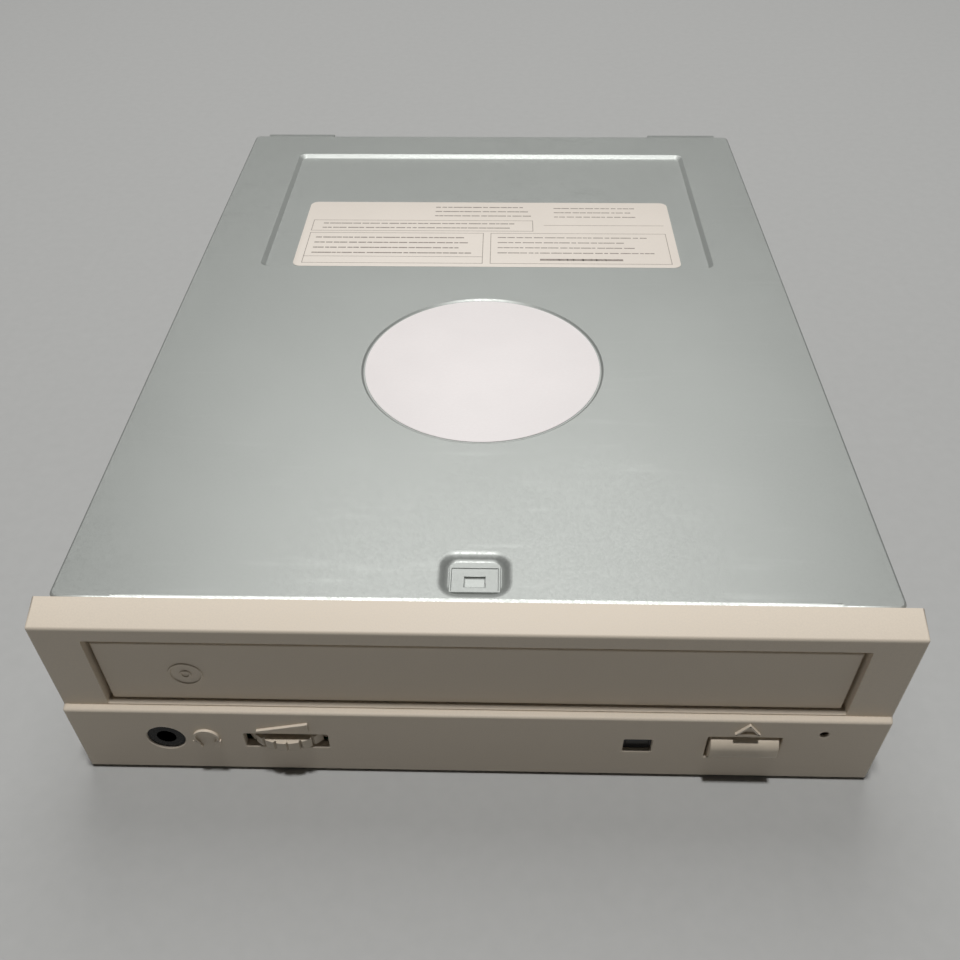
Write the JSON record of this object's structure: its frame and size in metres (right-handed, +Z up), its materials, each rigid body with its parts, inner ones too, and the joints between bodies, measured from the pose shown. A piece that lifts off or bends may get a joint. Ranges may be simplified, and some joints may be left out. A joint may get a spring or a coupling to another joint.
{
  "type": "internal optical disc drive",
  "caption": "Half-height 5.25-inch tray-loading optical drive: steel case, beige bezel, sliding tray, loading gears, tilting traverse and sliding pickup.",
  "frame": {"origin": "underside, middle of the width, at the bezel's rear plane", "axes": "+X to the right seen from the front, +Y to the back, +Z up"},
  "size_m": [0.1484, 0.1938, 0.042],
  "materials": {
    "bottom_case": "zinc-plated pressed steel",
    "top_cover": "pale grey-green pre-coated steel, fine satin grain",
    "bezel": "fine spark-textured beige ABS",
    "round_label": "blank white paper label",
    "rating_label": "cream paper label with ruled boxes",
    "loader_frame": "black moulded plastic",
    "clamp_bridge": "pressed steel",
    "bridge_screws": "zinc-plated screws",
    "frame_screws": "zinc-plated screws",
    "board_screws": "zinc-plated screws",
    "main_board": "green solder mask on glass laminate",
    "insulator_sheet": "black insulating film",
    "board_chips": "black moulded epoxy",
    "capacitors": "plain aluminium cans",
    "ide_connector": "black glass-filled plastic",
    "ide_pins": "gold-flashed pins",
    "power_connector": "natural nylon",
    "power_pins": "tin-plated pins",
    "jumper_block": "black base with pins",
    "jumper_cap": "black moulded cap",
    "audio_connectors": "natural nylon",
    "audio_pins": "tin-plated pins",
    "front_board": "green solder mask on glass laminate",
    "headphone_jack": "black moulded plastic",
    "volume_pot": "plated steel can",
    "eject_switch": "black moulded plastic",
    "status_led": "green tinted epoxy",
    "status_window": "smoked clear plastic",
    "front_cable": "flat flexible cable with its socket",
    "loading_motor": "plated steel can",
    "drive_belt": "matt black rubber",
    "tray": "fine-grained black plastic",
    "tray_front": "fine spark-textured beige ABS",
    "drive_gear": "white acetal",
    "pulley_gear": "white acetal",
    "motor_pulley": "turned brass",
    "cam_slider": "natural acetal",
    "traverse_base": "zinc-plated pressed steel",
    "spindle_motor": "plated steel can",
    "guide_rods": "ground steel",
    "rod_clips": "black moulded plastic",
    "sled_motor": "plated steel can",
    "spindle_shaft": "ground steel",
    "turntable": "black moulded plastic",
    "turntable_mat": "matt black rubber",
    "centring_cone": "natural acetal",
    "clamper": "black moulded plastic",
    "clamper_yoke": "plated steel",
    "pickup_body": "die-cast metal",
    "pickup_cover": "thin pressed steel",
    "pickup_magnets": "plated sintered magnets",
    "sled_rack": "white acetal",
    "lens_holder": "black moulded plastic",
    "objective_lens": "clear moulded lens",
    "sled_gear": "white acetal",
    "sled_pinion": "turned brass",
    "eject_button": "smooth beige ABS",
    "switch_plunger": "natural moulded plastic",
    "volume_wheel": "smooth beige ABS with notched edge"
  },
  "bodies": {
    "chassis": {"bottom_case": "bottom_case", "top_cover": "top_cover", "bezel": "bezel", "round_label": "round_label", "rating_label": "rating_label", "loader_frame": "loader_frame", "clamp_bridge": "clamp_bridge", "bridge_screws": "bridge_screws", "frame_screws": "frame_screws", "board_screws": "board_screws", "main_board": "main_board", "insulator_sheet": "insulator_sheet", "board_chips": "board_chips", "capacitors": "capacitors", "ide_connector": "ide_connector", "ide_pins": "ide_pins", "power_connector": "power_connector", "power_pins": "power_pins", "jumper_block": "jumper_block", "jumper_cap": "jumper_cap", "audio_connectors": "audio_connectors", "audio_pins": "audio_pins", "front_board": "front_board", "headphone_jack": "headphone_jack", "volume_pot": "volume_pot", "eject_switch": "eject_switch", "status_led": "status_led", "status_window": "status_window", "front_cable": "front_cable", "loading_motor": "loading_motor", "drive_belt": "drive_belt"},
    "tray_unit": {"tray": "tray", "tray_front": "tray_front"},
    "tray_gear": {"drive_gear": "drive_gear"},
    "reduction": {"pulley_gear": "pulley_gear"},
    "motor_rotor": {"motor_pulley": "motor_pulley"},
    "cam": {"cam_slider": "cam_slider"},
    "traverse": {"traverse_base": "traverse_base", "spindle_motor": "spindle_motor", "guide_rods": "guide_rods", "rod_clips": "rod_clips", "sled_motor": "sled_motor"},
    "spindle": {"spindle_shaft": "spindle_shaft", "turntable": "turntable", "turntable_mat": "turntable_mat", "centring_cone": "centring_cone"},
    "clamp": {"clamper": "clamper", "clamper_yoke": "clamper_yoke"},
    "sled": {"pickup_body": "pickup_body", "pickup_cover": "pickup_cover", "pickup_magnets": "pickup_magnets", "sled_rack": "sled_rack"},
    "lens": {"lens_holder": "lens_holder", "objective_lens": "objective_lens"},
    "sled_train": {"sled_gear": "sled_gear"},
    "sled_rotor": {"sled_pinion": "sled_pinion"},
    "button": {"eject_button": "eject_button"},
    "plunger": {"switch_plunger": "switch_plunger"},
    "thumbwheel": {"volume_wheel": "volume_wheel"}
  },
  "joints": [
    {"name": "tray_slide", "type": "slide", "parent": "chassis", "child": "tray_unit", "axis": [0, -1, 0], "range_m": [0, 0.138]},
    {"name": "drive_gear_turn", "type": "hinge", "parent": "chassis", "child": "tray_gear", "pos_m": [0.046, 0.02, 0.024], "axis": [0, 0, 1], "range_deg": [-990, 0]},
    {"name": "pulley_gear_turn", "type": "hinge", "parent": "chassis", "child": "reduction", "pos_m": [0.031, 0.02, 0.018], "axis": [0, 0, 1], "range_deg": [0, 2545]},
    {"name": "motor_turn", "type": "hinge", "parent": "chassis", "child": "motor_rotor", "pos_m": [-0.008, 0.02, 0.0168], "axis": [0, 0, 1], "range_deg": [0, 11880]},
    {"name": "cam_slide", "type": "slide", "parent": "chassis", "child": "cam", "axis": [1, 0, 0], "range_m": [0, 0.012]},
    {"name": "traverse_tilt", "type": "hinge", "parent": "chassis", "child": "traverse", "pos_m": [0, 0.15, 0.016], "axis": [1, 0, 0], "range_deg": [0, 3.41]},
    {"name": "spindle_spin", "type": "hinge", "parent": "traverse", "child": "spindle", "pos_m": [0, 0.0667, 0.025], "axis": [0, 0, 1], "continuous": true},
    {"name": "clamper_spin", "type": "hinge", "parent": "chassis", "child": "clamp", "pos_m": [0, 0.0667, 0.036], "axis": [0, 0, 1], "continuous": true},
    {"name": "sled_slide", "type": "slide", "parent": "traverse", "child": "sled", "axis": [0, 1, 0], "range_m": [0, 0.034]},
    {"name": "sled_gear_turn", "type": "hinge", "parent": "traverse", "child": "sled_train", "pos_m": [0.035, 0.115, 0.019], "axis": [0, 0, 1], "range_deg": [-490, 0]},
    {"name": "sled_motor_turn", "type": "hinge", "parent": "traverse", "child": "sled_rotor", "pos_m": [0.035, 0.127, 0.017], "axis": [0, 0, 1], "range_deg": [0, 1465]},
    {"name": "lens_focus", "type": "slide", "parent": "sled", "child": "lens", "axis": [0, 0, 1], "range_m": [-0.0005, 0.0005], "stiffness_N_per_m": 60},
    {"name": "eject_press", "type": "slide", "parent": "chassis", "child": "button", "axis": [0, 1, 0], "range_m": [0, 0.0008], "stiffness_N_per_m": 400},
    {"name": "switch_press", "type": "slide", "parent": "chassis", "child": "plunger", "axis": [0, 1, 0], "range_m": [0, 0.0009]},
    {"name": "volume_turn", "type": "hinge", "parent": "chassis", "child": "thumbwheel", "pos_m": [-0.0346, 0.00085, 0.01035], "axis": [0, 0, 1], "range_deg": [-135, 135]}
  ],
  "couplings": [
    {"joint": "drive_gear_turn", "follows": "tray_slide", "rad_per_m": -125},
    {"joint": "pulley_gear_turn", "follows": "tray_slide", "rad_per_m": 321.43},
    {"joint": "motor_turn", "follows": "tray_slide", "rad_per_m": 1502.2},
    {"joint": "traverse_tilt", "follows": "cam_slide", "rad_per_m": 4.9451},
    {"joint": "clamper_spin", "follows": "spindle_spin", "ratio": 1},
    {"joint": "sled_gear_turn", "follows": "sled_slide", "rad_per_m": -250},
    {"joint": "sled_motor_turn", "follows": "sled_slide", "rad_per_m": 750},
    {"joint": "switch_press", "follows": "eject_press", "ratio": 1}
  ]
}
